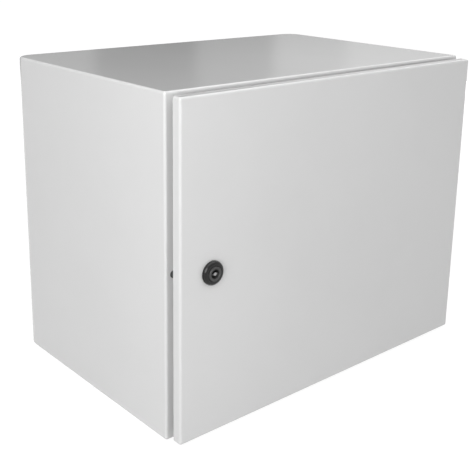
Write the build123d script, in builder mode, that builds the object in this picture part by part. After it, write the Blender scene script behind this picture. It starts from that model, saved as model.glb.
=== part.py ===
"""Steel wall enclosure with a hinged pan door and a quarter-turn lock.

Millimetres. The origin is the middle of the four wall-fixing holes on the rear face.
+X is the viewer's right when facing the door, +Y points into the wall and +Z is up.
Every place along the depth is written as a reach: its distance out from the wall.
"""
import os

from build123d import *

os.makedirs("parts", exist_ok=True)

# Case
case_width = 500.0
case_height = 400.0
case_depth = 328.0  # wall to the front of the flange
sheet = 1.5
edge_bend = 3.0  # outer radius of folded and ground edges
rear_bend = 22.0  # outer radius of the two upright rear bends
upstand_corner = 5.0
wall_hole_radius = 4.5
wall_hole_inset = 30.0

# Door
door_inset = 3.0  # the door is this much smaller than the case on each side
door_gap = 10.0  # flange to the rear edge of the door
door_depth = 12.0
door_sheet = 1.5
gasket_width = 10.0
gasket_thickness = 6.2
gasket_chamfer = 2.0
gasket_corner = 12.0
seat_gap = 0.3  # parts that meet across a moving joint

# Hinges
hinge_end = 60.0  # top and bottom of the case to the middle of each hinge
knuckle_radius = 4.0
knuckle_height = 16.0
ear_height = 7.0
pin_radius = 2.5
pin_head_radius = 3.6
pin_head_height = 2.0
pin_tail = 2.0
running_gap = 0.05  # pin in the knuckle, rotor in the lock housing
fixed_gap = 0.02  # pin in the ears
hinge_side_gap = 0.5
hinge_gasket_gap = 1.75
leaf_thickness = 2.0
bracket_arm = 2.5
bracket_base = 3.0
bracket_base_height = 46.0
bracket_corner = 2.0
bracket_screw_pitch = 32.0
bracket_screw_radius = 2.5
bracket_screw_head_radius = 4.2
bracket_screw_head_height = 2.6
screw_gap = 0.1
notch_past_axis = 4.6  # the cut in the door return ends this far in front of the axis
notch_margin = 1.5

# Quarter-turn lock
lock_inset = 46.0  # side of the case to the lock axis
lock_drop = 0.0  # below the middle of the door
bezel_radius = 14.0
bezel_height = 5.0
bezel_slope = 3.6  # the bezel narrows by this much towards its front
bezel_chamfer = 1.0
lock_seal_thickness = 1.0
lock_seal_radius = 13.0
barrel_radius = 11.0
barrel_flats = 19.8
barrel_gap = 0.15
lock_nut_flats = 27.0
lock_nut_thickness = 6.0
rotor_radius = 6.0
rotor_head_radius = 8.4
rotor_head_gap = 0.2
rotor_recess = 2.5
rotor_rise = 1.2
socket_radius = 5.4
socket_depth = 7.0
post_radius = 1.9
post_wing = 1.8
post_wing_reach = 3.9
post_below_face = 0.8
cam_square = 7.8
cam_square_gap = 0.1
cam_thickness = 3.0
cam_hub_radius = 10.0
cam_tip_radius = 6.5
cam_tip_inset = 7.0  # side of the case to the tip of the turned cam
cam_washer_radius = 8.0
cam_washer_thickness = 1.6
cam_screw_radius = 3.0
cam_screw_head_radius = 5.2
cam_screw_head_height = 3.4
cam_screw_length = 14.0

# Buffer in the flange behind the lock edge of the door
buffer_inset = 11.0
buffer_radius = 4.5
buffer_height = 3.0
buffer_stem_radius = 2.6
buffer_pad_radius = 4.0
buffer_pad = 2.0

# Mounting plate on welded studs
plate_margin = 35.0  # side of the case to the edge of the plate
plate_sheet = 2.5
plate_fold = 10.0
stud_inset = 25.0  # edge of the plate to the studs
stud_radius = 4.0
stud_collar_radius = 8.0
stud_collar_height = 18.0
stud_length = 40.0
stud_hole_gap = 0.5
washer_radius = 8.0
washer_thickness = 1.6
nut_flats = 13.0
nut_height = 6.5

# Gland plate inside the floor
gland_width = 320.0
gland_depth = 150.0
gland_back = 60.0  # wall to the rear edge of the gland plate
gland_lap = 18.0  # plate edge to the edge of the cut-out
gland_corner = 8.0
gland_sheet = 2.0
gland_gasket_thickness = 3.0
gland_stud_radius = 2.5
gland_stud_inset = 8.0
gland_stud_rows = 4
gland_stud_end = 3.0
gland_nut_flats = 8.0
gland_nut_height = 4.0

# Perforated rails inside the door
rail_width = 20.0
rail_depth = 10.0
rail_sheet = 1.5
rail_end_margin = 45.0  # edge of the door to the end of the rail
rail_lock_gap = 9.0
rail_slot_width = 6.4
rail_slot_height = 12.5
rail_slot_pitch = 25.0

# Earth studs
earth_radius = 3.0
earth_base_radius = 6.0
earth_base_height = 1.5
earth_length = 20.0
earth_washer_radius = 6.5
earth_washer_thickness = 1.6
earth_nut_flats = 10.0
earth_nut_height = 5.0
earth_front_inset = 45.0  # front of the flange to the stud in the case
earth_floor_inset = 50.0  # bottom of the case to both earth studs
earth_door_inset = 50.0  # side of the case to the stud in the door

# Reaches out from the wall
flange_back = case_depth - sheet
frame_back = case_depth - edge_bend
door_back = case_depth + door_gap
door_front = door_back + door_depth
door_inner = door_front - door_sheet
gasket_back = door_inner - gasket_thickness
upstand_edge = gasket_back - seat_gap
hinge_reach = door_inner - leaf_thickness - seat_gap - knuckle_radius
buffer_pad_back = flange_back - buffer_pad
cam_front = buffer_pad_back - seat_gap
cam_back = cam_front - cam_thickness
barrel_end = cam_front + seat_gap
plate_back = sheet + stud_collar_height
plate_front = plate_back + plate_sheet

# Places across the front, worked out from the side of the case inwards
hinge_inset = door_inset + door_sheet + hinge_side_gap + knuckle_radius
upstand_inset = hinge_inset + knuckle_radius + hinge_gasket_gap + (gasket_width - sheet) / 2
hinge_x = case_width / 2 - hinge_inset
hinge_height = case_height / 2 - hinge_end
mouth_width = case_width - 2 * (upstand_inset + sheet)
mouth_height = case_height - 2 * (upstand_inset + sheet)
door_width = case_width - 2 * door_inset
door_height = case_height - 2 * door_inset
lock_x = lock_inset - case_width / 2
lock_z = -lock_drop
cam_length = lock_inset - cam_tip_inset
buffer_x = buffer_inset - case_width / 2
wall_spacing_x = case_width - 2 * wall_hole_inset
wall_spacing_z = case_height - 2 * wall_hole_inset
plate_width = case_width - 2 * plate_margin
plate_height = case_height - 2 * plate_margin
stud_spacing_x = plate_width - 2 * stud_inset
stud_spacing_z = plate_height - 2 * stud_inset
rail_inset = lock_inset + lock_nut_flats / 3 ** 0.5 + rail_lock_gap + rail_width / 2
bracket_base_left = case_width / 2 - upstand_inset + seat_gap
bracket_base_right = case_width / 2 - edge_bend
bracket_screw_x = (bracket_base_left + bracket_base_right) / 2

# Heights
floor_outer = -case_height / 2
floor_inner = floor_outer + sheet
roof_inner = case_height / 2 - sheet
gland_plate_bottom = floor_inner + gland_gasket_thickness
gland_plate_top = gland_plate_bottom + gland_sheet
gland_middle_y = -(gland_back + gland_depth / 2)
earth_z = floor_outer + earth_floor_inset

# Planes that face the viewer, with local x to the right and local y up
lock_center = (lock_x, -door_front, lock_z)
lock_profile = Plane(origin=lock_center, x_dir=(1, 0, 0), z_dir=(0, 0, -1))
lock_axis = Axis(lock_center, (0, -1, 0))


def front_plane(reach, x=0.0, z=0.0):
    """A plane across the depth at a reach out from the wall, facing the viewer."""
    return Plane(origin=(x, -reach, z), x_dir=(1, 0, 0), z_dir=(0, -1, 0))


def rounded_pan(margin, edge_radius):
    """The solid outline of the door, drawn in by a margin on all sides but the open rear."""
    with BuildPart() as pan:
        with BuildSketch(front_plane(door_back)):
            Rectangle(door_width - 2 * margin, door_height - 2 * margin)
        extrude(amount=door_depth - margin)
        corners = pan.edges().filter_by(Axis.Y)
        front_rim = pan.faces().sort_by(Axis.Y)[0].edges()
        fillet(corners + front_rim, edge_radius)
    return pan.part


# Case: sides and rear bent from one sheet, a welded top and floor, all edges ground round
with BuildPart() as case_outline:
    with BuildSketch(front_plane(0.0)):
        Rectangle(case_width, case_height)
    extrude(amount=case_depth)
    fillet(case_outline.edges().filter_by(Axis.Z).group_by(Axis.Y)[-1], rear_bend)
    end_edges = case_outline.faces().filter_by(Axis.Z).edges()
    front_edges = case_outline.edges().filter_by(Axis.Z).group_by(Axis.Y)[0]
    fillet(end_edges + front_edges, edge_bend)

with BuildPart() as case_inside:
    with BuildSketch(Plane.XY.offset(floor_inner)) as case_plan:
        with Locations((0, -case_depth / 2)):
            Rectangle(case_width - 2 * sheet, case_depth - 2 * sheet)
        fillet(case_plan.vertices().group_by(Axis.Y)[-1], rear_bend - sheet)
        fillet(case_plan.vertices().group_by(Axis.Y)[0], edge_bend - sheet)
    extrude(amount=case_height - 2 * sheet)

case_shell = case_outline.part - case_inside.part

with BuildPart() as body_shell:
    add(case_shell)
    split(bisect_by=front_plane(frame_back), keep=Keep.BOTTOM)
    split(bisect_by=Plane.XY.offset(floor_inner), keep=Keep.TOP)
    split(bisect_by=Plane.XY.offset(roof_inner), keep=Keep.BOTTOM)
    with BuildSketch(front_plane(0.0)):
        with GridLocations(wall_spacing_x, wall_spacing_z, 2, 2):
            Circle(wall_hole_radius)
    extrude(amount=sheet, mode=Mode.SUBTRACT)
body_shell.part.label = "body_shell"
export_step(body_shell.part, "parts/body_shell.step")

with BuildPart() as top_panel:
    add(case_shell)
    split(bisect_by=front_plane(frame_back), keep=Keep.BOTTOM)
    split(bisect_by=Plane.XY.offset(roof_inner), keep=Keep.TOP)
top_panel.part.label = "top_panel"
export_step(top_panel.part, "parts/top_panel.step")

with BuildPart() as floor_panel:
    add(case_shell)
    split(bisect_by=front_plane(frame_back), keep=Keep.BOTTOM)
    split(bisect_by=Plane.XY.offset(floor_inner), keep=Keep.BOTTOM)
    with BuildSketch(Plane.XY.offset(floor_outer)):
        with Locations((0, gland_middle_y)):
            RectangleRounded(gland_width - 2 * gland_lap, gland_depth - 2 * gland_lap, gland_corner)
    extrude(amount=sheet, mode=Mode.SUBTRACT)
floor_panel.part.label = "floor_panel"
export_step(floor_panel.part, "parts/floor_panel.step")

# Front frame: the gutter welded to the case, a flange with a forward upstand round the mouth
with BuildPart() as front_frame:
    add(case_shell)
    split(bisect_by=front_plane(frame_back), keep=Keep.TOP)
    with BuildSketch(front_plane(flange_back)):
        RectangleRounded(mouth_width + 2 * sheet, mouth_height + 2 * sheet, upstand_corner)
    extrude(amount=upstand_edge - flange_back)
    with BuildSketch(front_plane(flange_back)):
        RectangleRounded(mouth_width, mouth_height, upstand_corner - sheet)
    extrude(amount=upstand_edge - flange_back, mode=Mode.SUBTRACT)
    with BuildSketch(front_plane(flange_back)):
        for height in (-hinge_height, hinge_height):
            with Locations((bracket_screw_x, height)):
                with GridLocations(0, bracket_screw_pitch, 1, 2):
                    Circle(bracket_screw_radius + screw_gap)
        with Locations((buffer_x, lock_z)):
            Circle(buffer_stem_radius + screw_gap)
    extrude(amount=sheet, mode=Mode.SUBTRACT)
front_frame.part.label = "front_frame"
export_step(front_frame.part, "parts/front_frame.step")

# Mounting plate: side edges folded back, carried on four collared studs
with BuildPart() as plate_studs:
    with BuildSketch(front_plane(sheet)):
        with GridLocations(stud_spacing_x, stud_spacing_z, 2, 2):
            Circle(stud_collar_radius)
    extrude(amount=stud_collar_height)
    with BuildSketch(front_plane(plate_back)):
        with GridLocations(stud_spacing_x, stud_spacing_z, 2, 2):
            Circle(stud_radius)
    extrude(amount=stud_length - plate_back)
    tips = plate_studs.faces().filter_by(Axis.Y).group_by(Axis.Y)[0].edges()
    chamfer(tips, stud_radius / 5)
plate_studs.part.label = "plate_studs"
export_step(plate_studs.part, "parts/plate_studs.step")

with BuildPart() as mounting_plate:
    with BuildSketch(Plane.XY.offset(-plate_height / 2)):
        with Locations((0, -plate_front)):
            Rectangle(plate_width, plate_fold, align=(Align.CENTER, Align.MIN))
        with Locations((0, -plate_back)):
            Rectangle(plate_width - 2 * plate_sheet, plate_fold, align=(Align.CENTER, Align.MIN),
                      mode=Mode.SUBTRACT)
    extrude(amount=plate_height)
    fold_edges = mounting_plate.faces().sort_by(Axis.Y)[0].edges().filter_by(Axis.Z)
    fillet(fold_edges, plate_sheet)
    with BuildSketch(front_plane(plate_back)):
        with GridLocations(stud_spacing_x, stud_spacing_z, 2, 2):
            Circle(stud_radius + stud_hole_gap)
    extrude(amount=plate_sheet, mode=Mode.SUBTRACT)
mounting_plate.part.label = "mounting_plate"
export_step(mounting_plate.part, "parts/mounting_plate.step")

with BuildPart() as plate_washers:
    with BuildSketch(front_plane(plate_front)):
        with GridLocations(stud_spacing_x, stud_spacing_z, 2, 2):
            Circle(washer_radius)
            Circle(stud_radius + screw_gap, mode=Mode.SUBTRACT)
    extrude(amount=washer_thickness)
plate_washers.part.label = "plate_washers"
export_step(plate_washers.part, "parts/plate_washers.step")

with BuildPart() as plate_nuts:
    with BuildSketch(front_plane(plate_front + washer_thickness)):
        with GridLocations(stud_spacing_x, stud_spacing_z, 2, 2):
            RegularPolygon(nut_flats / 2, 6, major_radius=False)
            Circle(stud_radius + screw_gap, mode=Mode.SUBTRACT)
    extrude(amount=nut_height)
plate_nuts.part.label = "plate_nuts"
export_step(plate_nuts.part, "parts/plate_nuts.step")

# Gland plate: clamped over the floor cut-out from inside, on a gasket
gland_stud_span_x = gland_width - 2 * gland_stud_inset
gland_stud_span_y = gland_depth - 2 * gland_stud_inset
gland_stud_step = gland_stud_span_x / (gland_stud_rows - 1)

with BuildPart() as gland_studs:
    with BuildSketch(Plane.XY.offset(floor_inner)):
        with Locations((0, gland_middle_y)):
            with GridLocations(gland_stud_step, gland_stud_span_y, gland_stud_rows, 2):
                Circle(gland_stud_radius)
    extrude(amount=gland_plate_top + gland_nut_height + gland_stud_end - floor_inner)
gland_studs.part.label = "gland_studs"
export_step(gland_studs.part, "parts/gland_studs.step")

with BuildPart() as gland_gasket:
    with BuildSketch(Plane.XY.offset(floor_inner)):
        with Locations((0, gland_middle_y)):
            RectangleRounded(gland_width, gland_depth, gland_corner)
            RectangleRounded(gland_width - 2 * gland_lap, gland_depth - 2 * gland_lap, gland_corner,
                             mode=Mode.SUBTRACT)
            with GridLocations(gland_stud_step, gland_stud_span_y, gland_stud_rows, 2):
                Circle(gland_stud_radius + stud_hole_gap, mode=Mode.SUBTRACT)
    extrude(amount=gland_gasket_thickness)
gland_gasket.part.label = "gland_gasket"
export_step(gland_gasket.part, "parts/gland_gasket.step")

with BuildPart() as gland_plate:
    with BuildSketch(Plane.XY.offset(gland_plate_bottom)):
        with Locations((0, gland_middle_y)):
            RectangleRounded(gland_width, gland_depth, gland_corner)
            with GridLocations(gland_stud_step, gland_stud_span_y, gland_stud_rows, 2):
                Circle(gland_stud_radius + stud_hole_gap, mode=Mode.SUBTRACT)
    extrude(amount=gland_sheet)
gland_plate.part.label = "gland_plate"
export_step(gland_plate.part, "parts/gland_plate.step")

with BuildPart() as gland_nuts:
    with BuildSketch(Plane.XY.offset(gland_plate_top)):
        with Locations((0, gland_middle_y)):
            with GridLocations(gland_stud_step, gland_stud_span_y, gland_stud_rows, 2):
                RegularPolygon(gland_nut_flats / 2, 6, major_radius=False)
                Circle(gland_stud_radius + screw_gap, mode=Mode.SUBTRACT)
    extrude(amount=gland_nut_height)
gland_nuts.part.label = "gland_nuts"
export_step(gland_nuts.part, "parts/gland_nuts.step")


def earth_point(plane, name):
    """A welded stud with a washer and a nut, standing up from a plane."""
    with BuildPart() as stud:
        with BuildSketch(plane):
            Circle(earth_base_radius)
        extrude(amount=earth_base_height)
        with BuildSketch(plane):
            Circle(earth_radius)
        extrude(amount=earth_length)
    stud.part.label = f"{name}_earth_stud"
    export_step(stud.part, f"parts/{name}_earth_stud.step")
    with BuildPart() as washer:
        with BuildSketch(plane.offset(earth_base_height)):
            Circle(earth_washer_radius)
            Circle(earth_radius + screw_gap, mode=Mode.SUBTRACT)
        extrude(amount=earth_washer_thickness)
    washer.part.label = f"{name}_earth_washer"
    export_step(washer.part, f"parts/{name}_earth_washer.step")
    with BuildPart() as nut:
        with BuildSketch(plane.offset(earth_base_height + earth_washer_thickness)):
            RegularPolygon(earth_nut_flats / 2, 6, major_radius=False)
            Circle(earth_radius + screw_gap, mode=Mode.SUBTRACT)
        extrude(amount=earth_nut_height)
    nut.part.label = f"{name}_earth_nut"
    export_step(nut.part, f"parts/{name}_earth_nut.step")


case_earth_origin = (case_width / 2 - sheet, earth_front_inset - case_depth, earth_z)
earth_point(Plane(origin=case_earth_origin, x_dir=(0, 1, 0), z_dir=(-1, 0, 0)), "case")
door_earth_origin = (case_width / 2 - earth_door_inset, -door_inner, earth_z)
earth_point(Plane(origin=door_earth_origin, x_dir=(1, 0, 0), z_dir=(0, 1, 0)), "door")

# Buffer: a rubber plug in the flange, which the turned lock cam slides behind
with BuildPart() as latch_buffer:
    with BuildSketch(front_plane(case_depth, buffer_x, lock_z)):
        Circle(buffer_radius)
    extrude(amount=buffer_height)
    chamfer(latch_buffer.faces().sort_by(Axis.Y)[0].edges(), buffer_height / 3)
    with BuildSketch(front_plane(flange_back, buffer_x, lock_z)):
        Circle(buffer_stem_radius)
    extrude(amount=sheet)
    with BuildSketch(front_plane(buffer_pad_back, buffer_x, lock_z)):
        Circle(buffer_pad_radius)
    extrude(amount=buffer_pad)
latch_buffer.part.label = "latch_buffer"
export_step(latch_buffer.part, "parts/latch_buffer.step")

# Door: a pan with its returns cut away at the hinges and a flatted hole for the lock
door_outline = rounded_pan(0.0, edge_bend)
door_inside = rounded_pan(door_sheet, edge_bend - door_sheet)
with BuildPart() as door_panel:
    add(door_outline)
    add(door_inside, mode=Mode.SUBTRACT)
    with BuildSketch(front_plane(door_inner, lock_x, lock_z)):
        Circle(barrel_radius + barrel_gap)
        Rectangle(4 * barrel_radius, barrel_flats + 2 * barrel_gap, mode=Mode.INTERSECT)
    extrude(amount=door_sheet, mode=Mode.SUBTRACT)
    with BuildSketch(front_plane(door_back)):
        with Locations((door_width / 2, 0)):
            with GridLocations(0, 2 * hinge_height, 1, 2):
                Rectangle(4 * door_sheet, knuckle_height + 2 * notch_margin)
    extrude(amount=hinge_reach + notch_past_axis - door_back, mode=Mode.SUBTRACT)
door_panel.part.label = "door_panel"
export_step(door_panel.part, "parts/door_panel.step")

# Door gasket: a foamed bead that the upstand presses into
gasket_outer_x = mouth_width + sheet + gasket_width
gasket_outer_z = mouth_height + sheet + gasket_width
with BuildPart() as door_gasket:
    with BuildSketch(front_plane(door_inner)):
        RectangleRounded(gasket_outer_x, gasket_outer_z, gasket_corner)
        RectangleRounded(gasket_outer_x - 2 * gasket_width, gasket_outer_z - 2 * gasket_width,
                         gasket_corner - gasket_width, mode=Mode.SUBTRACT)
    extrude(amount=-gasket_thickness)
    chamfer(door_gasket.faces().sort_by(Axis.Y)[-1].edges(), gasket_chamfer)
door_gasket.part.label = "door_gasket"
export_step(door_gasket.part, "parts/door_gasket.step")

# Door rails: perforated channels that stiffen the door on both sides
rail_length = door_height - 2 * rail_end_margin
rail_slot_count = int(rail_length // rail_slot_pitch)
for side_name, side in (("left", -1), ("right", 1)):
    rail_x = side * (case_width / 2 - rail_inset)
    with BuildPart() as door_rail:
        with BuildSketch(Plane.XY.offset(-rail_length / 2)):
            with Locations((rail_x, -door_inner)):
                Rectangle(rail_width, rail_depth, align=(Align.CENTER, Align.MIN))
                Rectangle(rail_width - 2 * rail_sheet, rail_depth - rail_sheet,
                          align=(Align.CENTER, Align.MIN), mode=Mode.SUBTRACT)
        extrude(amount=rail_length)
        web_edges = door_rail.faces().sort_by(Axis.Y)[-1].edges().filter_by(Axis.Z)
        fillet(web_edges, rail_sheet)
        with BuildSketch(front_plane(door_inner - rail_depth, rail_x)):
            with GridLocations(0, rail_slot_pitch, 1, rail_slot_count):
                Rectangle(rail_slot_width, rail_slot_height)
        extrude(amount=rail_sheet, mode=Mode.SUBTRACT)
    door_rail.part.label = f"door_rail_{side_name}"
    export_step(door_rail.part, f"parts/door_rail_{side_name}.step")

# Concealed hinges: a bracket on the flange, a leaf in the door and a pin through both
ear_foot = knuckle_height / 2 + seat_gap
leaf_half = ear_foot + ear_height
for level_name, level in (("lower", -1), ("upper", 1)):
    middle_z = level * hinge_height
    axis_point = (hinge_x, -hinge_reach)

    with BuildPart() as bracket:
        with BuildSketch(front_plane(case_depth)):
            with Locations(((bracket_base_left + bracket_base_right) / 2, middle_z)):
                Rectangle(bracket_base_right - bracket_base_left, bracket_base_height)
            with Locations((bracket_screw_x, middle_z)):
                with GridLocations(0, bracket_screw_pitch, 1, 2):
                    Circle(bracket_screw_radius + running_gap, mode=Mode.SUBTRACT)
        extrude(amount=bracket_base)
        with BuildSketch(Plane.XY.offset(middle_z - knuckle_height / 2)):
            with Locations(axis_point):
                Circle(knuckle_radius)
                with Locations((-knuckle_radius, 0)):
                    Rectangle(bracket_arm, hinge_reach - case_depth,
                              align=(Align.MIN, Align.MIN))
                Circle(pin_radius + running_gap, mode=Mode.SUBTRACT)
        extrude(amount=knuckle_height)
        depth_edges = bracket.edges().filter_by(Axis.Y).group_by(Axis.Z)
        fillet(depth_edges[0] + depth_edges[-1], bracket_corner)
    bracket.part.label = f"hinge_bracket_{level_name}"
    export_step(bracket.part, f"parts/hinge_bracket_{level_name}.step")

    with BuildPart() as leaf:
        with BuildSketch(Plane.XY.offset(middle_z - leaf_half)):
            with Locations((hinge_x, -door_inner)):
                Rectangle(2 * knuckle_radius, leaf_thickness, align=(Align.CENTER, Align.MIN))
        extrude(amount=2 * leaf_half)
        for foot in (middle_z - leaf_half, middle_z + ear_foot):
            with BuildSketch(Plane.XY.offset(foot)):
                with Locations(axis_point):
                    Circle(knuckle_radius)
                    Rectangle(2 * knuckle_radius, door_inner - hinge_reach,
                              align=(Align.CENTER, Align.MAX))
                    Circle(pin_radius + fixed_gap, mode=Mode.SUBTRACT)
            extrude(amount=ear_height)
        bend_edge = leaf.edges().filter_by(Axis.Z).group_by(Axis.Y)[0].sort_by(Axis.X)[-1]
        fillet(bend_edge, edge_bend - door_sheet)
    leaf.part.label = f"hinge_leaf_{level_name}"
    export_step(leaf.part, f"parts/hinge_leaf_{level_name}.step")

    with BuildPart() as pin:
        with BuildSketch(Plane.XY.offset(middle_z - leaf_half - pin_tail)):
            with Locations(axis_point):
                Circle(pin_radius)
        extrude(amount=2 * leaf_half + pin_tail)
        chamfer(pin.faces().sort_by(Axis.Z)[0].edges(), pin_radius / 4)
        with BuildSketch(Plane.XY.offset(middle_z + leaf_half)):
            with Locations(axis_point):
                Circle(pin_head_radius)
        extrude(amount=pin_head_height)
        chamfer(pin.faces().sort_by(Axis.Z)[-1].edges(), pin_head_height / 3)
    pin.part.label = f"hinge_pin_{level_name}"
    export_step(pin.part, f"parts/hinge_pin_{level_name}.step")

with BuildPart() as hinge_screws:
    screw_places = [(bracket_screw_x, side * hinge_height + end * bracket_screw_pitch / 2)
                    for side in (-1, 1) for end in (-1, 1)]
    with BuildSketch(front_plane(flange_back)):
        with Locations(*screw_places):
            Circle(bracket_screw_radius)
    extrude(amount=sheet + bracket_base)
    with BuildSketch(front_plane(flange_back)):
        with Locations(*screw_places):
            Circle(bracket_screw_head_radius)
    extrude(amount=-bracket_screw_head_height)
    screw_heads = hinge_screws.faces().group_by(Axis.Y)[-1].edges()
    chamfer(screw_heads, bracket_screw_head_height / 3)
hinge_screws.part.label = "hinge_screws"
export_step(hinge_screws.part, "parts/hinge_screws.step")

# Lock housing: a bezel outside, a flatted barrel through the door
bezel_front = lock_seal_thickness + bezel_height
barrel_length = door_front - barrel_end
with BuildPart() as lock_housing:
    with BuildSketch(lock_profile):
        with BuildLine():
            Polyline(
                (rotor_radius, -barrel_length),
                (barrel_radius, -barrel_length),
                (barrel_radius, lock_seal_thickness),
                (bezel_radius, lock_seal_thickness),
                (bezel_radius - bezel_slope, bezel_front),
                (rotor_head_radius + rotor_head_gap, bezel_front),
                (rotor_head_radius + rotor_head_gap, bezel_front - rotor_recess),
                (rotor_radius, bezel_front - rotor_recess),
                close=True,
            )
        make_face()
    revolve(axis=lock_axis)
    bezel_edge = lock_housing.faces().sort_by(Axis.Y)[0].edges().sort_by(SortBy.LENGTH)[-1]
    chamfer(bezel_edge, bezel_chamfer)
    with BuildSketch(front_plane(barrel_end, lock_x, lock_z)):
        Rectangle(4 * barrel_radius, 4 * barrel_radius)
        Rectangle(4 * barrel_radius, barrel_flats, mode=Mode.SUBTRACT)
    extrude(amount=barrel_length, mode=Mode.SUBTRACT)
lock_housing.part.label = "lock_housing"
export_step(lock_housing.part, "parts/lock_housing.step")

with BuildPart() as lock_seal:
    with BuildSketch(front_plane(door_front, lock_x, lock_z)):
        Circle(lock_seal_radius)
        Circle(barrel_radius + barrel_gap, mode=Mode.SUBTRACT)
    extrude(amount=lock_seal_thickness)
lock_seal.part.label = "lock_seal"
export_step(lock_seal.part, "parts/lock_seal.step")

with BuildPart() as lock_nut:
    with BuildSketch(front_plane(door_inner, lock_x, lock_z)):
        RegularPolygon(lock_nut_flats / 2, 6, major_radius=False)
        Circle(barrel_radius + screw_gap, mode=Mode.SUBTRACT)
    extrude(amount=-lock_nut_thickness)
lock_nut.part.label = "lock_nut"
export_step(lock_nut.part, "parts/lock_nut.step")

# Lock rotor: a socket with a winged key post in front, a square for the cam behind
rotor_front = bezel_front + rotor_rise
rotor_shoulder = bezel_front - rotor_recess + running_gap
square_back = cam_back + cam_square_gap
with BuildPart() as lock_insert:
    with BuildSketch(lock_profile):
        with BuildLine():
            Polyline(
                (0, cam_front - door_front),
                (rotor_radius - running_gap, cam_front - door_front),
                (rotor_radius - running_gap, rotor_shoulder),
                (rotor_head_radius, rotor_shoulder),
                (rotor_head_radius, rotor_front),
                (socket_radius, rotor_front),
                (socket_radius, rotor_front - socket_depth),
                (0, rotor_front - socket_depth),
                close=True,
            )
        make_face()
    revolve(axis=lock_axis)
    head_rim = lock_insert.faces().sort_by(Axis.Y)[0].edges()
    chamfer(head_rim, rotor_rise / 3)
    with BuildSketch(front_plane(door_front + rotor_front - socket_depth, lock_x, lock_z)):
        Circle(post_radius)
        Rectangle(2 * post_wing_reach, post_wing)
    extrude(amount=socket_depth - post_below_face)
    with BuildSketch(front_plane(square_back, lock_x, lock_z)):
        Rectangle(cam_square, cam_square)
    extrude(amount=cam_front - square_back)
    with BuildSketch(front_plane(square_back, lock_x, lock_z)):
        Circle(cam_screw_radius + running_gap)
    extrude(amount=cam_screw_length, mode=Mode.SUBTRACT)
lock_insert.part.label = "lock_insert"
export_step(lock_insert.part, "parts/lock_insert.step")

# Lock cam: hangs down when open, a quarter turn brings it behind the flange
with BuildPart() as lock_cam:
    with BuildSketch(front_plane(cam_back, lock_x, lock_z)):
        with BuildLine():
            hub_arc = CenterArc((0, 0), cam_hub_radius, 0, 180)
            tip_arc = CenterArc((0, cam_tip_radius - cam_length), cam_tip_radius, 180, 180)
            Line(hub_arc @ 1, tip_arc @ 0)
            Line(tip_arc @ 1, hub_arc @ 0)
        make_face()
        Rectangle(cam_square + 2 * cam_square_gap, cam_square + 2 * cam_square_gap,
                  mode=Mode.SUBTRACT)
    extrude(amount=cam_thickness)
lock_cam.part.label = "lock_cam"
export_step(lock_cam.part, "parts/lock_cam.step")

with BuildPart() as cam_washer:
    with BuildSketch(front_plane(cam_back, lock_x, lock_z)):
        Circle(cam_washer_radius)
        Circle(cam_screw_radius + screw_gap, mode=Mode.SUBTRACT)
    extrude(amount=-cam_washer_thickness)
cam_washer.part.label = "cam_washer"
export_step(cam_washer.part, "parts/cam_washer.step")

screw_seat = cam_back - cam_washer_thickness
with BuildPart() as cam_screw:
    with BuildSketch(front_plane(screw_seat, lock_x, lock_z)):
        Circle(cam_screw_radius)
    extrude(amount=cam_screw_length)
    with BuildSketch(front_plane(screw_seat, lock_x, lock_z)):
        Circle(cam_screw_head_radius)
    extrude(amount=-cam_screw_head_height)
    chamfer(cam_screw.faces().sort_by(Axis.Y)[-1].edges(), cam_screw_head_height / 3)
cam_screw.part.label = "cam_screw"
export_step(cam_screw.part, "parts/cam_screw.step")
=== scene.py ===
# Looks of the steel wall enclosure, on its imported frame.
# Metres. +X is the viewer's right when facing the door, +Y points into the wall, +Z is up.
import math

import bpy
import numpy as np
from mathutils import Matrix, Vector


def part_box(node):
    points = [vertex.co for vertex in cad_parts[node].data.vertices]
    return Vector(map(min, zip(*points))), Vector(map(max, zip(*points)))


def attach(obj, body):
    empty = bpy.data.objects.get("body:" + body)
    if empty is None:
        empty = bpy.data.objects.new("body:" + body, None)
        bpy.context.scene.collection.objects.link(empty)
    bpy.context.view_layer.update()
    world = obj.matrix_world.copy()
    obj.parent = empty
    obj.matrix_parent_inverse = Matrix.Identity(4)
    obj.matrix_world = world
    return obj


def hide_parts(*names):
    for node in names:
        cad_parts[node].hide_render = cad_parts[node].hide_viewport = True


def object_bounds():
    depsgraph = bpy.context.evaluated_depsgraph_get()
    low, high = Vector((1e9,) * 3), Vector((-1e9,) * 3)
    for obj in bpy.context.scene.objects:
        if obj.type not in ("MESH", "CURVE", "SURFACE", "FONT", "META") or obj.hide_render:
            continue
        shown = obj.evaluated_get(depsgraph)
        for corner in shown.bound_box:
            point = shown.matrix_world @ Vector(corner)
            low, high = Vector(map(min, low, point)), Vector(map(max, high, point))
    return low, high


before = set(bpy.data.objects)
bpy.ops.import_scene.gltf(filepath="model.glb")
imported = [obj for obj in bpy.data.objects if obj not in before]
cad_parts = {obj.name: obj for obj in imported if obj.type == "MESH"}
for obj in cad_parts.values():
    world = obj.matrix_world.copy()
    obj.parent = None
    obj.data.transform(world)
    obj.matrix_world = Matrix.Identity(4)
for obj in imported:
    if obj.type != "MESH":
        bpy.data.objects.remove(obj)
cad_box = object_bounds()

# Camera, fitted to the corners of the case and the door
PHOTO_SIDE = 475.0  # pixels
FOCAL_PIXELS = 856.66
CAMERA_PLACE = (-0.75704, -1.02189, 0.35268)
CAMERA_YAW = math.radians(41.185)
CAMERA_TILT = math.radians(14.981)
CAMERA_ROLL = math.radians(1.002)
CAMERA_SHIFT = -0.15
SENSOR_WIDTH = 36.0  # millimetres

# Studio
FLOOR_HALF = 30.0
FLOOR_ALBEDO = 0.4  # for the light that the floor sends back to the object
FLOOR_SEEN = 0.25  # for the floor as it is looked at, where lamps and shadow show
FLOOR_GLOW = 0.86  # what makes the floor white to look at
SKY_STRENGTH = 0.63
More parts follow.
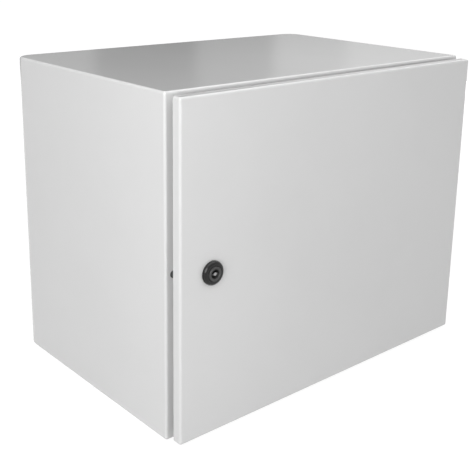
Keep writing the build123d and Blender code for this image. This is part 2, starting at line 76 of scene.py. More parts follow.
# Lamps as place, aim, width, height and power
KEY_LAMP = ((-1.00, -0.92, 0.36), (0.0, -0.175, 0.36), 0.8, 1.5, 12.0)
FRONT_LAMP = ((-0.30, -2.00, 1.60), (0.0, -0.175, 0.0), 1.0, 1.0, 6.0)
REAR_LAMP = ((1.70, 1.50, 0.00), (0.0, -0.175, 0.0), 1.6, 0.36, 20.0)
WALL_DISTANCE = 3.4  # camera to the curved studio wall
WALL_BOTTOM = -0.2
WALL_TOP = 2.2
WALL_COLUMNS = 641
WALL_ROWS = 97
# Panels of the wall: left edge, in degrees to the right of the camera's axis, and shade
WALL_PANELS = ((-40.0, 0.37), (-9.6, 0.18), (-2.9, 0.36), (2.3, 0.59), (7.1, 0.73))
WALL_RIGHT = 40.0
PANEL_EDGE = 0.9  # width of the soft edge between two panels, in degrees
# Heights on the wall and the share of its shade there
WALL_DIMMING = ((0.43, 0.75), (0.50, 1.0), (0.54, 1.0), (0.60, 0.65), (0.75, 0.65), (1.0, 2.3))
# Sheets of light that only reflections see, as middle, half width, half height and glow
CANOPY = ((0.2, 0.3, 2.4), (2.4, 0.0, 0.0), (0.0, 2.3, 0.0), 3.0)
LOCK_CARD = ((-1.90, -1.39, 1.05), (0.49, -0.81, 0.0), (0.0, 0.0, 0.95), 6.5)
SHEET_STEPS = 33
SHEET_FALLOFF = 6  # power of the curve by which a sheet dims towards its edges

# Finishes
PAINT_GREY = 0.66
PAINT_CLOUDS = 0.015  # share by which the paint's grey drifts up and down
PAINT_ROUGHNESS = 0.35
GLOSS_ROUGHNESS = 0.15  # of the smooth skin of the powder coat

# Steps round and along the turned pieces
ROUND_STEPS = 48
NUT_STEPS = 72
LOCK_STEPS = 96
SCREW_DOME_STEPS = 8
BEZEL_DOME_STEPS = 14
SHARP_ANGLE = math.radians(32)  # edges that turn by more than this stay sharp
TINY = 1e-6  # keeps a division away from zero

# Fasteners
THREAD_STEPS = 6  # rows per turn of a thread
THREAD_DEPTH = 0.55  # of the pitch
STUD_EDGE = 0.0004  # chamfer of a stud's base
STUD_TIP = 0.72  # tip of a stud, as a share of its radius
NUT_CHAMFER = math.radians(30)
NUT_FACE = 0.485  # radius of a nut's flat end, as a share of its flats
NUT_LEAD = 0.12  # chamfer of a nut's bore, as a share of its radius
SCREW_TIP = 0.75  # tip of a screw, as a share of its radius
HEAD_RIM = 0.3  # upright rim of a screw head, as a share of its height
HEAD_FLAT = 0.62  # flat top of a screw head, as a share of its radius
SOCKET_SINK = 0.55  # depth of a socket, as a share of the head's height
SOCKET_MOUTH = 1.06  # a socket widens by this factor over its lead
SOCKET_LEAD = 0.0002
M8 = {"radius": 0.004, "pitch": 0.00125}
M6 = {"radius": 0.003, "pitch": 0.001}
M5 = {"radius": 0.0025, "pitch": 0.0008}
PLATE_SHEET = 0.0025  # the mounting plate, between collar and washer
PLATE_COLLAR = 0.008  # radius of the collar that carries the mounting plate
GLAND_STUD_FOOT = 0.0005
EARTH_STUD_FOOT = 0.0015
HINGE_SCREW = {"spacing": 0.032, "head_height": 0.0026, "socket": 0.003}
CAM_SCREW = {"head_height": 0.0034, "socket": 0.004}

# Quarter-turn lock
BARREL = {"radius": 0.011, "flats": 0.0198, "pitch": 0.0015}
BARREL_ROOM = 0.0001  # between the barrel and the bore of its nut
BEZEL_SLOPE = 0.0036  # the bezel narrows by this much towards its front
BEZEL_RIM = 0.0014  # upright rim of the bezel above its seal
BEZEL_LEAD = 0.0003  # small chamfers of the bezel
ROTOR_RECESS = {"radius": 0.0086, "depth": 0.0025}
ROTOR_BORE = 0.00605
KEY_POST_REACH = 0.0021  # bare metal of the key post, round the lock axis


def frame_box(node):
    """Lowest and highest corner of a CAD node as two arrays."""
    low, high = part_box(node)
    return np.array(low), np.array(high)


def seat(origin, axis, side):
    """A place for a turned piece: its origin and its side, across and axis directions as rows."""
    axis = np.array(axis, float)
    side = np.array(side, float)
    return np.array(origin, float), np.stack([side, np.cross(axis, side), axis])


def around(count=ROUND_STEPS):
    """Angles once round, without the repeated last one."""
    return np.arange(count) * (2 * np.pi / count)


def turned(radius, height, angle):
    """Points of a turned form: radius and height are arrays [row, angle], laid out as
    (r cos a, r sin a, h)."""
    radius, height = np.broadcast_arrays(radius, height)
    return np.stack([radius * np.cos(angle), radius * np.sin(angle), height], axis=-1)


def ring_grid(rings, closed=False):
    """Quads between neighbouring rings [row, column, xyz], whose columns wrap round. A closed
    profile also joins its last ring to its first; an open one gets a flat cap at each end."""
    rows, columns = rings.shape[:2]
    index = np.arange(rows * columns).reshape(rows, columns)
    lower = index if closed else index[:-1]
    upper = np.roll(index, -1, axis=0) if closed else index[1:]
    corners = [lower, np.roll(lower, -1, axis=1), np.roll(upper, -1, axis=1), upper]
    faces = np.stack(corners, axis=-1).reshape(-1, 4).tolist()
    if not closed:
        faces += [index[0, ::-1].tolist(), index[-1].tolist()]
    return rings.reshape(-1, 3), faces


def piece(name, shapes, seats, body, material, slot, *stands_for):
    """One object from shapes set on their seats: each point is origin + x side + y across +
    z axis. It rides on a body and takes the place of CAD nodes."""
    points, faces, start = [], [], 0
    for (local, polygons), (origin, directions) in zip(shapes, seats):
        points.append(origin + local @ directions)
        faces += [[corner + start for corner in polygon] for polygon in polygons]
        start += len(local)
    mesh = bpy.data.meshes.new(name)
    mesh.from_pydata(np.concatenate(points), [], faces)
    mesh.polygons.foreach_set("use_smooth", np.ones(len(faces), bool))
    mesh.set_sharp_from_angle(angle=SHARP_ANGLE)
    mesh.materials.append(material)
    thing = bpy.data.objects.new(name, mesh)
    bpy.context.scene.collection.objects.link(thing)
    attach(thing, body)
    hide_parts(*stands_for)


def thread(angle, height, radius, pitch):
    """Radius of a thread: a triangle wave of height over pitch less the share of a turn."""
    phase = height / pitch - angle / (2 * np.pi)
    wave = np.abs(2 * (phase - np.floor(phase)) - 1)
    return radius - THREAD_DEPTH * pitch * wave


def thread_rows(length, pitch):
    """Heights along a thread, a few to each turn."""
    count = int(round(length / pitch * THREAD_STEPS)) + 1
    return np.linspace(0, length, count)[:, None]


def stud(length, radius, pitch, base_radius, base_height):
    """A welded stud: a plain base, then a threaded rod whose tip is turned down at 45 degrees."""
    angle = around()
    base_r = np.array([base_radius, base_radius, base_radius - STUD_EDGE, radius])[:, None]
    base_h = np.array([0, base_height - STUD_EDGE, base_height, base_height])[:, None]
    rod_h = base_height + thread_rows(length - base_height, pitch)
    rod_r = thread(angle, rod_h, radius, pitch)
    tip_r = radius * STUD_TIP + (length - rod_h)
    rod_r = np.minimum(rod_r, tip_r)
    rings = np.concatenate([
        turned(base_r + 0 * angle, base_h, angle),
        turned(rod_r, rod_h, angle),
    ])
    return ring_grid(rings)


def hexagon(angle, flats):
    """Radius of a hexagon: half its flats over the cosine of the angle from the nearest flat."""
    off = np.mod(angle + np.pi / 6, np.pi / 3) - np.pi / 6
    return flats / 2 / np.cos(off)


def hex_nut(flats, bore, height):
    """A closed profile carried round the bore. The wall follows a hexagon, and both ends are
    turned down to a cone outside a circle just inside the flats."""
    angle = around(NUT_STEPS)
    wall = hexagon(angle, flats)
    flat_r = NUT_FACE * flats
    drop = (wall - flat_r) * math.tan(NUT_CHAMFER)
    lead = NUT_LEAD * bore
    profile = [
        (wall, drop), (wall, height - drop), (flat_r, height), (bore + lead, height),
        (bore, height - lead), (bore, lead), (bore + lead, 0), (flat_r, 0),
    ]
    rings = [turned(r + 0 * angle, h + 0 * angle, angle) for r, h in profile]
    return ring_grid(np.stack(rings), closed=True)


def socket_screw(shank_radius, pitch, shank_length, head_radius, head_height, socket):
    """A screw from its tip up: threaded shank, flat under the head, a rim and a dome, then a
    hexagonal socket sunk into the head. The dome is a quarter of an ellipse."""
    angle = around()
    shank_h = thread_rows(shank_length, pitch)
    shank_r = np.minimum(thread(angle, shank_h, shank_radius, pitch),
                         SCREW_TIP * shank_radius + shank_h)
    rim = HEAD_RIM * head_height
    socket_r = hexagon(angle, socket)
    turn = np.linspace(0, np.pi / 2, SCREW_DOME_STEPS)[:, None]
    flat_r = HEAD_FLAT * head_radius
    dome_r = flat_r + (head_radius - flat_r) * np.cos(turn)
    dome_h = shank_length + rim + (head_height - rim) * np.sin(turn)
    top = shank_length + head_height
    sunk = top - SOCKET_SINK * head_height
    rings = np.concatenate([
        turned(shank_r, shank_h, angle),
        turned(np.array([[shank_radius], [head_radius]]) + 0 * angle, shank_length, angle),
        turned(dome_r + 0 * angle, dome_h, angle),
        turned(np.stack([socket_r * SOCKET_MOUTH, socket_r, socket_r]),
               np.array([top, top - SOCKET_LEAD, sunk])[:, None], angle),
    ])
    return ring_grid(rings)


def lock_body(barrel_length, bezel_radius, bezel_seat, bezel_front):
    """The lock housing as one closed profile round its axis. Behind the door it is a threaded
    barrel whose radius is cut by two flats, r = min(thread, half flats / |sin a|). In front it
    is a bezel: a short rim, a dome that follows a quarter of an ellipse, then a flat front with
    a stepped recess for the rotor."""
    angle = around(LOCK_STEPS)
    barrel_h = -barrel_length + thread_rows(barrel_length + bezel_seat, BARREL["pitch"])
    flat_r = BARREL["flats"] / 2 / np.maximum(np.abs(np.sin(angle)), TINY)
    barrel_r = np.minimum(thread(angle, barrel_h, BARREL["radius"], BARREL["pitch"]), flat_r)
    share = np.linspace(0, 1, BEZEL_DOME_STEPS)
    rim_top = bezel_seat + BEZEL_RIM
    slope_h = rim_top + (bezel_front - rim_top) * np.sin(share * np.pi / 2)
    slope_r = bezel_radius - BEZEL_SLOPE * (1 - np.cos(share * np.pi / 2))
    recess_r = ROTOR_RECESS["radius"]
    recess_floor = bezel_front - ROTOR_RECESS["depth"]
    lead = BEZEL_LEAD
    face = np.array([
        (recess_r + lead, bezel_front), (recess_r, bezel_front - lead), (recess_r, recess_floor),
        (ROTOR_BORE, recess_floor), (ROTOR_BORE, -barrel_length),
    ])
    rings = np.concatenate([
        turned(barrel_r, barrel_h, angle),
        turned(np.array([[bezel_radius - lead], [bezel_radius]]) + 0 * angle,
               np.array([[bezel_seat], [bezel_seat + lead]]), angle),
        turned(slope_r[:, None] + 0 * angle, slope_h[:, None], angle),
        turned(face[:, :1] + 0 * angle, face[:, 1:], angle),
    ])
    return ring_grid(rings, closed=True)


def shader(name):
    """A new material: itself, its node tree, its Principled shader and Object coordinates."""
    material = bpy.data.materials.new(name)
    material.use_nodes = True
    tree = material.node_tree
    surface = tree.nodes["Principled BSDF"]
    place = tree.nodes.new("ShaderNodeTexCoord").outputs["Object"]
    return material, tree, surface, place


def noise(tree, place, scale, detail=2.0, stretch=(1, 1, 1)):
    """A noise value on Object coordinates, drawn out along the axes that are scaled down."""
    mapping = tree.nodes.new("ShaderNodeMapping")
    mapping.inputs["Scale"].default_value = stretch
    texture = tree.nodes.new("ShaderNodeTexNoise")
    texture.inputs["Scale"].default_value = scale
    texture.inputs["Detail"].default_value = detail
    tree.links.new(place, mapping.inputs["Vector"])
    tree.links.new(mapping.outputs["Vector"], texture.inputs["Vector"])
    return texture.outputs["Fac"]


def ramp(tree, value, first, last, low=0.3, high=0.7):
    """A colour ramp from the first colour at low to the last at high."""
    node = tree.nodes.new("ShaderNodeValToRGB")
    node.color_ramp.elements[0].position = low
    node.color_ramp.elements[1].position = high
    node.color_ramp.elements[0].color = (*first, 1)
    node.color_ramp.elements[1].color = (*last, 1)
    tree.links.new(value, node.inputs["Fac"])
    return node.outputs["Color"]


def bump(tree, surface, value, strength, depth):
    """Grain of a given depth in metres on a shader."""
    node = tree.nodes.new("ShaderNodeBump")
    node.inputs["Strength"].default_value = strength
    node.inputs["Distance"].default_value = depth
    tree.links.new(value, node.inputs["Height"])
    tree.links.new(node.outputs["Normal"], surface.inputs["Normal"])


def grey(value):
    """A grey colour, the same value in red, green and blue."""
    return (value, value, value)


def grey_powder_coat():
    """Semi-gloss light grey powder coat: faint clouds of tone and a fine orange-peel grain."""
    material, tree, surface, place = shader("grey_powder_coat")
    clouds = noise(tree, place, scale=7.0, detail=3.0)
    tone = ramp(tree, clouds, first=grey(PAINT_GREY * (1 - PAINT_CLOUDS)),
                last=grey(PAINT_GREY * (1 + PAINT_CLOUDS)))
    tree.links.new(tone, surface.inputs["Base Color"])
    surface.inputs["Roughness"].default_value = PAINT_ROUGHNESS
    surface.inputs["Specular IOR Level"].default_value = 0.2
    surface.inputs["Coat Weight"].default_value = 1.0
    surface.inputs["Coat Roughness"].default_value = GLOSS_ROUGHNESS
    peel = noise(tree, place, scale=650.0)
    bump(tree, surface, peel, strength=0.05, depth=0.0001)
    return material


def zinc_plating():
    """Zinc on sheet steel: cloudy grey metal with faint rolling streaks along Z."""
    material, tree, surface, place = shader("zinc_plating")
    clouds = noise(tree, place, scale=60.0, detail=4.0)
    tone = ramp(tree, clouds, first=(0.50, 0.51, 0.52), last=(0.66, 0.67, 0.68))
    tree.links.new(tone, surface.inputs["Base Color"])
    surface.inputs["Metallic"].default_value = 1.0
    streaks = noise(tree, place, scale=400.0, detail=3.0, stretch=(1, 1, 0.04))
    gloss = ramp(tree, streaks, first=grey(0.30), last=grey(0.46), low=0.25, high=0.75)
    tree.links.new(gloss, surface.inputs["Roughness"])
    return material


def bright_steel():
    """Turned steel of studs, nuts and screws: fine tone change and a light satin grain."""
    material, tree, surface, place = shader("bright_steel")
    spots = noise(tree, place, scale=500.0, detail=3.0)
    tone = ramp(tree, spots, first=(0.47, 0.47, 0.47), last=(0.6, 0.6, 0.59))
    tree.links.new(tone, surface.inputs["Base Color"])
    surface.inputs["Metallic"].default_value = 1.0
    surface.inputs["Roughness"].default_value = 0.32
    grain = noise(tree, place, scale=2500.0)
    bump(tree, surface, grain, strength=0.2, depth=0.00003)
    return material


def foam_seal():
    """Foamed seal: dark grey with open cells, a skin of small round dents."""
    material, tree, surface, place = shader("foam_seal")
    spots = noise(tree, place, scale=900.0, detail=3.0)
    tone = ramp(tree, spots, first=grey(0.030), last=grey(0.065))
    tree.links.new(tone, surface.inputs["Base Color"])
    surface.inputs["Roughness"].default_value = 0.85
    cells = tree.nodes.new("ShaderNodeTexVoronoi")
    cells.inputs["Scale"].default_value = 1100.0
    tree.links.new(place, cells.inputs["Vector"])
    bump(tree, surface, cells.outputs["Distance"], strength=0.6, depth=0.0003)
    return material


def black_rubber():
    """Moulded rubber: matt black with a fine bloom."""
    material, tree, surface, place = shader("black_rubber")
    bloom = noise(tree, place, scale=300.0, detail=3.0)
    tone = ramp(tree, bloom, first=grey(0.012), last=grey(0.022))
    tree.links.new(tone, surface.inputs["Base Color"])
    surface.inputs["Roughness"].default_value = 0.62
    grain = noise(tree, place, scale=4000.0)
    bump(tree, surface, grain, strength=0.2, depth=0.00004)
    return material


def black_casting():
    """Satin black coat on a zinc casting: fine grain and slightly uneven gloss."""
    material, tree, surface, place = shader("black_casting")
    spots = noise(tree, place, scale=700.0, detail=3.0)
    tone = ramp(tree, spots, first=grey(0.003), last=grey(0.007))
    tree.links.new(tone, surface.inputs["Base Color"])
    patches = noise(tree, place, scale=250.0)
    gloss = ramp(tree, patches, first=grey(0.13), last=grey(0.21))
    tree.links.new(gloss, surface.inputs["Roughness"])
    surface.inputs["Specular IOR Level"].default_value = 0.36
    grain = noise(tree, place, scale=3000.0)
    bump(tree, surface, grain, strength=0.25, depth=0.00005)
    return material


def rotor_and_key_post():
    """The rotor is a duller and slightly lighter black than the housing, but for the bare cast
    zinc of the key post on its axis."""
    material, tree, surface, place = shader("rotor_and_key_post")
    low, high = frame_box("lock_insert")
    middle = (low + high) / 2
    from_axis = tree.nodes.new("ShaderNodeMapping")
    from_axis.inputs["Location"].default_value = (-middle[0], 0, -middle[2])
    from_axis.inputs["Scale"].default_value = (1, 0, 1)
    distance = tree.nodes.new("ShaderNodeVectorMath")
    distance.operation = "LENGTH"
    inside = tree.nodes.new("ShaderNodeMath")
    inside.operation = "LESS_THAN"
    inside.inputs[1].default_value = KEY_POST_REACH
    tree.links.new(place, from_axis.inputs["Vector"])
    tree.links.new(from_axis.outputs["Vector"], distance.inputs[0])
    tree.links.new(distance.outputs["Value"], inside.inputs[0])
    spots = noise(tree, place, scale=700.0, detail=3.0)
    coat = ramp(tree, spots, first=grey(0.030), last=grey(0.055))
    metal = ramp(tree, spots, first=grey(0.30), last=grey(0.38))
    tone = tree.nodes.new("ShaderNodeMix")
    tone.data_type = "RGBA"
    # The colour sockets of a Mix node are its inputs 6 and 7 and its output 2
    tree.links.new(inside.outputs[0], tone.inputs[0])
    tree.links.new(coat, tone.inputs[6])
    tree.links.new(metal, tone.inputs[7])
    tree.links.new(tone.outputs[2], surface.inputs["Base Color"])
    tree.links.new(inside.outputs[0], surface.inputs["Metallic"])
    surface.inputs["Roughness"].default_value = 0.33
    surface.inputs["Specular IOR Level"].default_value = 0.4
    grain = noise(tree, place, scale=3000.0)
    bump(tree, surface, grain, strength=0.25, depth=0.00005)
    return material


paint = grey_powder_coat()
zinc = zinc_plating()
steel = bright_steel()
foam = foam_seal()
rubber = black_rubber()
casting = black_casting()
rotor = rotor_and_key_post()

NODE_FINISHES = {
    paint: ["body_shell", "top_panel", "floor_panel", "front_frame", "door_panel"],
    zinc: ["mounting_plate", "plate_washers", "gland_plate", "case_earth_washer",
           "door_earth_washer", "door_rail_left", "door_rail_right", "lock_cam", "cam_washer",
           "hinge_bracket_lower", "hinge_bracket_upper", "hinge_leaf_lower", "hinge_leaf_upper"],
    steel: ["hinge_pin_lower", "hinge_pin_upper", "plate_studs", "gland_studs", "case_earth_stud",
            "door_earth_stud", "plate_nuts", "gland_nuts", "case_earth_nut", "door_earth_nut",
            "hinge_screws", "cam_screw", "lock_nut"],
    foam: ["door_gasket", "gland_gasket"],
    rubber: ["latch_buffer", "lock_seal"],
    casting: ["lock_housing"],
    rotor: ["lock_insert"],
}
for finish, names in NODE_FINISHES.items():
    for name in names:
        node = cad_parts[name]
        node.data.materials.clear()
        node.data.materials.append(finish)


def pattern_seats(low, high, inset, columns, rows, base, axis, side):
    """Seats on a grid of fasteners, whose middles lie an inset inside the node's box."""
    across = [k for k in range(3) if abs(axis[k]) < 0.5]
    spans = [np.linspace(low[k] + inset, high[k] - inset, count)
             for k, count in zip(across, (columns, rows))]
    seats = []
    for first in spans[0]:
        for second in spans[1]:
            origin = np.zeros(3)
            origin[across] = first, second
            origin += base * np.abs(axis)
            seats.append(seat(origin, axis, side))
    return seats


def mounting_plate_fasteners():
    """Four collared studs on the rear panel and the nuts that clamp the mounting plate."""
    low, high = frame_box("plate_studs")
    _, washer_high = frame_box("plate_washers")
    nut_low, nut_high = frame_box("plate_nuts")
    facing = np.array((0.0, -1.0, 0.0))
    side = (1.0, 0.0, 0.0)
    columns, rows = 2, 2
    stud_seats = pattern_seats(low, high, PLATE_COLLAR, columns, rows, high[1], facing, side)
    collar_height = high[1] - (washer_high[1] + PLATE_SHEET)
    rod = stud(high[1] - low[1], M8["radius"], M8["pitch"], PLATE_COLLAR, collar_height)
    piece("threaded_plate_studs", [rod] * len(stud_seats), stud_seats, "case", steel, "steel",
          "plate_studs")
    nut_seats = pattern_seats(low, high, PLATE_COLLAR, columns, rows, nut_high[1], facing, side)
    stud_spacing = high[2] - low[2] - 2 * PLATE_COLLAR
    nut = hex_nut(nut_high[2] - nut_low[2] - stud_spacing, M8["radius"], nut_high[1] - nut_low[1])
    piece("chamfered_plate_nuts", [nut] * len(nut_seats), nut_seats, "case", steel, "zinc_plate",
          "plate_nuts")


def gland_plate_fasteners():
    """Eight studs on the floor and the nuts that clamp the gland plate."""
    low, high = frame_box("gland_studs")
    nut_low, nut_high = frame_box("gland_nuts")
    upright = np.array((0.0, 0.0, 1.0))
    side = (1.0, 0.0, 0.0)
    radius = M5["radius"]
    columns, rows = 4, 2
    stud_seats = pattern_seats(low, high, radius, columns, rows, low[2], upright, side)
    rod = stud(high[2] - low[2], radius, M5["pitch"], radius, GLAND_STUD_FOOT)
    piece("threaded_gland_studs", [rod] * len(stud_seats), stud_seats, "case", steel, "steel",
          "gland_studs")
    nut_seats = pattern_seats(low, high, radius, columns, rows, nut_low[2], upright, side)
    stud_spacing = high[1] - low[1] - 2 * radius
    nut = hex_nut(nut_high[1] - nut_low[1] - stud_spacing, radius, nut_high[2] - nut_low[2])
    piece("chamfered_gland_nuts", [nut] * len(nut_seats), nut_seats, "case", steel, "zinc_plate",
          "gland_nuts")


def earth_fasteners(body, axis, side):
    """The earth stud of the case or the door, with its nut."""
    along = int(np.argmax(np.abs(axis)))
    low, high = frame_box(f"{body}_earth_stud")
    nut_low, nut_high = frame_box(f"{body}_earth_nut")
    foot = (low + high) / 2
    nut_foot = foot.copy()
    foot[along] = high[along] if axis[along] < 0 else low[along]
    nut_foot[along] = nut_high[along] if axis[along] < 0 else nut_low[along]
    base_radius = max(np.delete(high - low, along)) / 2
    rod = stud(high[along] - low[along], M6["radius"], M6["pitch"], base_radius, EARTH_STUD_FOOT)
    piece(f"threaded_{body}_earth_stud", [rod], [seat(foot, axis, side)], body, steel, "steel",
          f"{body}_earth_stud")
    flats = np.sort(nut_high - nut_low)[1]
    nut = hex_nut(flats, M6["radius"], nut_high[along] - nut_low[along])
    piece(f"chamfered_{body}_earth_nut", [nut], [seat(nut_foot, axis, side)], body, steel,
          "zinc_plate", f"{body}_earth_nut")


def hinge_bracket_screws():
    """Two screws to each hinge bracket, with their heads behind the flange."""
    low, high = frame_box("hinge_screws")
    head_radius = (high[0] - low[0]) / 2
    shank = high[1] - low[1] - HINGE_SCREW["head_height"]
    x = (low[0] + high[0]) / 2
    lowest = low[2] + head_radius
    highest = high[2] - head_radius
    spacing = HINGE_SCREW["spacing"]
    levels = [lowest, lowest + spacing, highest - spacing, highest]
    seats = [seat((x, low[1], z), (0, 1, 0), (1, 0, 0)) for z in levels]
    screw = socket_screw(M5["radius"], M5["pitch"], shank, head_radius,
                         HINGE_SCREW["head_height"], HINGE_SCREW["socket"])
    piece("hinge_socket_screws", [screw] * len(seats), seats, "case", steel, "zinc_plate",
          "hinge_screws")


def quarter_turn_lock():
    """The housing with its bezel, the nut behind the door and the screw that holds the cam."""
    low, high = frame_box("lock_housing")
    seal_low, _ = frame_box("lock_seal")
    nut_low, nut_high = frame_box("lock_nut")
    screw_low, screw_high = frame_box("cam_screw")
    door_front = frame_box("door_panel")[0][1]
    middle = (low + high) / 2
    axis_point = np.array((middle[0], door_front, middle[2]))
    facing = (0, -1, 0)
    side = (1, 0, 0)
    bezel_radius = (high[0] - low[0]) / 2
    housing = lock_body(high[1] - door_front, bezel_radius, door_front - seal_low[1],
                        door_front - low[1])
    piece("lock_bezel_and_barrel", [housing], [seat(axis_point, facing, side)], "door", casting,
          "black_casting", "lock_housing")
    nut_seat = seat((middle[0], nut_high[1], middle[2]), facing, side)
    nut = hex_nut(nut_high[2] - nut_low[2], BARREL["radius"] + BARREL_ROOM,
                  nut_high[1] - nut_low[1])
    piece("chamfered_lock_nut", [nut], [nut_seat], "door", zinc, "zinc_plate", "lock_nut")
    shank = screw_high[1] - screw_low[1] - CAM_SCREW["head_height"]
    head_radius = (screw_high[0] - screw_low[0]) / 2
    screw = socket_screw(M6["radius"], M6["pitch"], shank, head_radius,
                         CAM_SCREW["head_height"], CAM_SCREW["socket"])
    screw_seat = seat((middle[0], screw_low[1], middle[2]), (0, 1, 0), side)
    piece("cam_socket_screw", [screw], [screw_seat], "lock", steel, "zinc_plate", "cam_screw")


mounting_plate_fasteners()
gland_plate_fasteners()
earth_fasteners("case", (-1.0, 0.0, 0.0), (0.0, 1.0, 0.0))
earth_fasteners("door", (0.0, 1.0, 0.0), (1.0, 0.0, 0.0))
hinge_bracket_screws()
quarter_turn_lock()


def seen_as_background(tree):
    """1 for camera, glossy and transmission rays, which see a white studio; 0 for light."""
    path = tree.nodes.new("ShaderNodeLightPath")
    both = tree.nodes.new("ShaderNodeMath")
    both.operation = "MAXIMUM"
    every = tree.nodes.new("ShaderNodeMath")
    every.operation = "MAXIMUM"
    tree.links.new(path.outputs["Is Camera Ray"], both.inputs[0])
    tree.links.new(path.outputs["Is Glossy Ray"], both.inputs[1])
    tree.links.new(both.outputs[0], every.inputs[0])
    tree.links.new(path.outputs["Is Transmission Ray"], every.inputs[1])
    return every.outputs[0]


def white_sky():
    """The world: white to look at, a soft even light on the object."""
    world = bpy.data.worlds.new("white_sky")
    world.use_nodes = True
    tree = world.node_tree
    output = tree.nodes["World Output"]
    light = tree.nodes["Background"]
    light.inputs["Color"].default_value = (1, 1, 1, 1)
    light.inputs["Strength"].default_value = SKY_STRENGTH
    white = tree.nodes.new("ShaderNodeBackground")
    white.inputs["Color"].default_value = (1, 1, 1, 1)
    white.inputs["Strength"].default_value = 1.0
    mix = tree.nodes.new("ShaderNodeMixShader")
    tree.links.new(seen_as_background(tree), mix.inputs[0])
    tree.links.new(light.outputs[0], mix.inputs[1])
    tree.links.new(white.outputs[0], mix.inputs[2])
    tree.links.new(mix.outputs[0], output.inputs["Surface"])
    bpy.context.scene.world = world


def studio_floor():
    """A pale floor under the case: white to look at, with the soft shadow of the object."""
    height = cad_box[0][2]
    corners = np.array([(-1, -1), (1, -1), (1, 1), (-1, 1)]) * FLOOR_HALF
    mesh = bpy.data.meshes.new("studio_floor")
    mesh.from_pydata(np.column_stack([corners, np.full(4, height)]), [], [(0, 1, 2, 3)])
    material = bpy.data.materials.new("pale_floor")
    material.use_nodes = True
    tree = material.node_tree
    tree.nodes.remove(tree.nodes["Principled BSDF"])
    matt = tree.nodes.new("ShaderNodeBsdfDiffuse")
    matt.inputs["Color"].default_value = (*grey(FLOOR_ALBEDO), 1)
    shadowed = tree.nodes.new("ShaderNodeBsdfDiffuse")
    shadowed.inputs["Color"].default_value = (*grey(FLOOR_SEEN), 1)
    glow = tree.nodes.new("ShaderNodeEmission")
    glow.inputs["Strength"].default_value = FLOOR_GLOW
    white = tree.nodes.new("ShaderNodeAddShader")
    mix = tree.nodes.new("ShaderNodeMixShader")
    tree.links.new(shadowed.outputs[0], white.inputs[0])
    tree.links.new(glow.outputs[0], white.inputs[1])
    tree.links.new(seen_as_background(tree), mix.inputs[0])
    tree.links.new(matt.outputs[0], mix.inputs[1])
    tree.links.new(white.outputs[0], mix.inputs[2])
    tree.links.new(mix.outputs[0], tree.nodes["Material Output"].inputs["Surface"])
    mesh.materials.append(material)
    floor = bpy.data.objects.new("studio_floor", mesh)
    bpy.context.scene.collection.objects.link(floor)


def reflected_screen(name, points, shade):
    """A glowing sheet from a grid of points [row, column, xyz], which only reflections see."""
    index = np.arange(shade.size).reshape(shade.shape)
    corners = [index[:-1, :-1], index[:-1, 1:], index[1:, 1:], index[1:, :-1]]
    faces = np.stack(corners, axis=-1).reshape(-1, 4)
    mesh = bpy.data.meshes.new(name)
    mesh.from_pydata(points.reshape(-1, 3), [], faces.tolist())
    mesh.attributes.new("shade", "FLOAT", "POINT").data.foreach_set("value", shade.ravel())
    material = bpy.data.materials.new(name)
    material.use_nodes = True
    tree = material.node_tree
    tree.nodes.remove(tree.nodes["Principled BSDF"])
    read = tree.nodes.new("ShaderNodeAttribute")
    read.attribute_name = "shade"
    glow = tree.nodes.new("ShaderNodeEmission")
    tree.links.new(read.outputs["Fac"], glow.inputs["Strength"])
    tree.links.new(glow.outputs[0], tree.nodes["Material Output"].inputs["Surface"])
    mesh.materials.append(material)
    screen = bpy.data.objects.new(name, mesh)
    bpy.context.scene.collection.objects.link(screen)
    screen.visible_camera = False
    screen.visible_diffuse = False
    screen.visible_shadow = False


def studio_wall():
    """A wall round the camera, behind the object: a cylinder of headings and heights. Its shade
    is the sum of one soft step for each panel, times a dimming that depends on the height."""
    edges, shades = np.array(WALL_PANELS).T
    angle = np.linspace(edges[0], WALL_RIGHT, WALL_COLUMNS)
    height = np.linspace(WALL_BOTTOM, WALL_TOP, WALL_ROWS)[:, None]
    share = np.clip((angle - edges[1:, None]) / PANEL_EDGE + 0.5, 0, 1)
    shade = shades[0] + np.diff(shades) @ share
    shade = shade * np.interp(height, *np.array(WALL_DIMMING).T)
    heading = CAMERA_YAW + np.radians(angle)
    points = np.stack(np.broadcast_arrays(
        CAMERA_PLACE[0] + WALL_DISTANCE * np.sin(heading),
        CAMERA_PLACE[1] + WALL_DISTANCE * np.cos(heading),
        height,
    ), axis=-1)
    reflected_screen("studio_wall", points, shade)


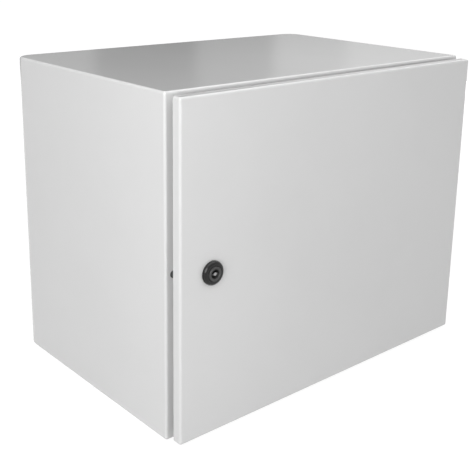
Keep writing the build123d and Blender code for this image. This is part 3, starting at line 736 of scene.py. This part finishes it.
def sheet_of_light(name, middle, half_width, half_height, glow):
    """A flat sheet, middle + u half width + v half height. Its glow falls to the edges as the
    product of two flat-topped curves, 1 - u^n and 1 - v^n, where n is SHEET_FALLOFF."""
    u = np.linspace(-1, 1, SHEET_STEPS)
    v = np.linspace(-1, 1, SHEET_STEPS)[:, None]
    shade = glow * (1 - u ** SHEET_FALLOFF) * (1 - v ** SHEET_FALLOFF)
    points = np.array(middle) + u[:, None] * np.array(half_width)
    points = points + v[:, :, None] * np.array(half_height)
    reflected_screen(name, points, shade)


def soft_lamp(name, place, aim, width, height, power):
    """A soft box that faces its aim. Neither the camera nor a reflection sees it."""
    data = bpy.data.lights.new(name, "AREA")
    data.shape = "RECTANGLE"
    data.size = width
    data.size_y = height
    data.energy = power
    lamp = bpy.data.objects.new(name, data)
    lamp.location = place
    lamp.rotation_euler = (Vector(aim) - lamp.location).to_track_quat("-Z", "Y").to_euler()
    lamp.visible_camera = False
    lamp.visible_glossy = False
    bpy.context.scene.collection.objects.link(lamp)


def photo_camera():
    """The camera stands where the fit of the corners puts it, turned by yaw, tilt and roll."""
    data = bpy.data.cameras.new("photo_camera")
    data.sensor_width = SENSOR_WIDTH
    data.lens = FOCAL_PIXELS / PHOTO_SIDE * SENSOR_WIDTH
    data.shift_y = CAMERA_SHIFT
    forward = Vector((math.sin(CAMERA_YAW) * math.cos(CAMERA_TILT),
                      math.cos(CAMERA_YAW) * math.cos(CAMERA_TILT), -math.sin(CAMERA_TILT)))
    level = Vector((math.cos(CAMERA_YAW), -math.sin(CAMERA_YAW), 0))
    upward = level.cross(forward)
    right = level * math.cos(CAMERA_ROLL) + upward * math.sin(CAMERA_ROLL)
    top = upward * math.cos(CAMERA_ROLL) - level * math.sin(CAMERA_ROLL)
    turn = Matrix((right, top, -forward)).transposed().to_4x4()
    camera = bpy.data.objects.new("photo_camera", data)
    camera.matrix_world = Matrix.Translation(CAMERA_PLACE) @ turn
    bpy.context.scene.collection.objects.link(camera)
    bpy.context.scene.camera = camera


white_sky()
studio_floor()
studio_wall()
sheet_of_light("overhead_canopy", *CANOPY)
sheet_of_light("lock_card", *LOCK_CARD)
soft_lamp("key_lamp", *KEY_LAMP)
soft_lamp("front_lamp", *FRONT_LAMP)
soft_lamp("rear_lamp", *REAR_LAMP)
photo_camera()
bpy.context.scene.view_settings.view_transform = "Standard"
